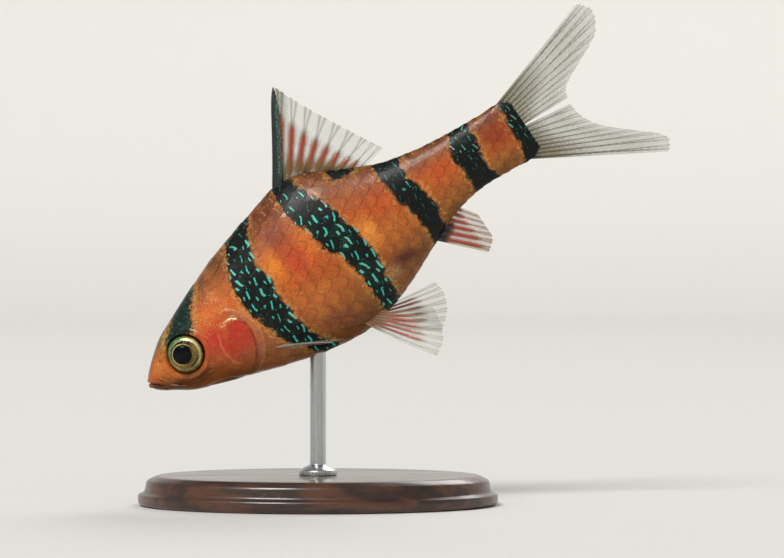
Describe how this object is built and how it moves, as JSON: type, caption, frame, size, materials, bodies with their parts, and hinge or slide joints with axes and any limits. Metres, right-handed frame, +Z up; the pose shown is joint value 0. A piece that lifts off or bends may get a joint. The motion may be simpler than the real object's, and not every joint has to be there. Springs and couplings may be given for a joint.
{
  "type": "six-banded tiger barb",
  "caption": "Still, life-size barb with dark bars and a red dorsal fin, swimming nose down on a plain display stand.",
  "frame": {"origin": "middle of the underside of the display stand's base", "axes": "+Z up, -X the way the fish heads, nose down by 34 degrees, -Y towards its left flank"},
  "size_m": [0.0533, 0.025, 0.0502],
  "materials": {
    "head_skin": "glossy skin of the head, orange to red, without scales",
    "skin": "glossy scaled skin, orange brown with dark iridescent bars",
    "gill_skin": "glossy red gill cover with a pale metallic patch",
    "iris": "metallic gold iris under a clear cornea",
    "pupil": "black, wet gloss",
    "red_fin": "thin fin membrane with red streaks along the rays",
    "clear_fin": "thin clear fin membrane with dusky rays",
    "stand_wood": "dark stained hardwood, satin varnish",
    "stand_steel": "brushed steel rod"
  },
  "bodies": {
    "root": {"head": "head_skin", "trunk": "skin", "tail_stem": "skin", "gill_cover_left": "gill_skin", "eye_left": "iris", "pupil_left": "pupil", "pectoral_fin_left": "clear_fin", "pelvic_fin_left": "red_fin", "gill_cover_right": "gill_skin", "eye_right": "iris", "pupil_right": "pupil", "pectoral_fin_right": "clear_fin", "pelvic_fin_right": "red_fin", "dorsal_fin": "red_fin", "anal_fin": "red_fin", "tail_fin_upper": "clear_fin", "tail_fin_lower": "clear_fin", "stand_base": "stand_wood", "stand_rod": "stand_steel"}
  },
  "joints": []
}
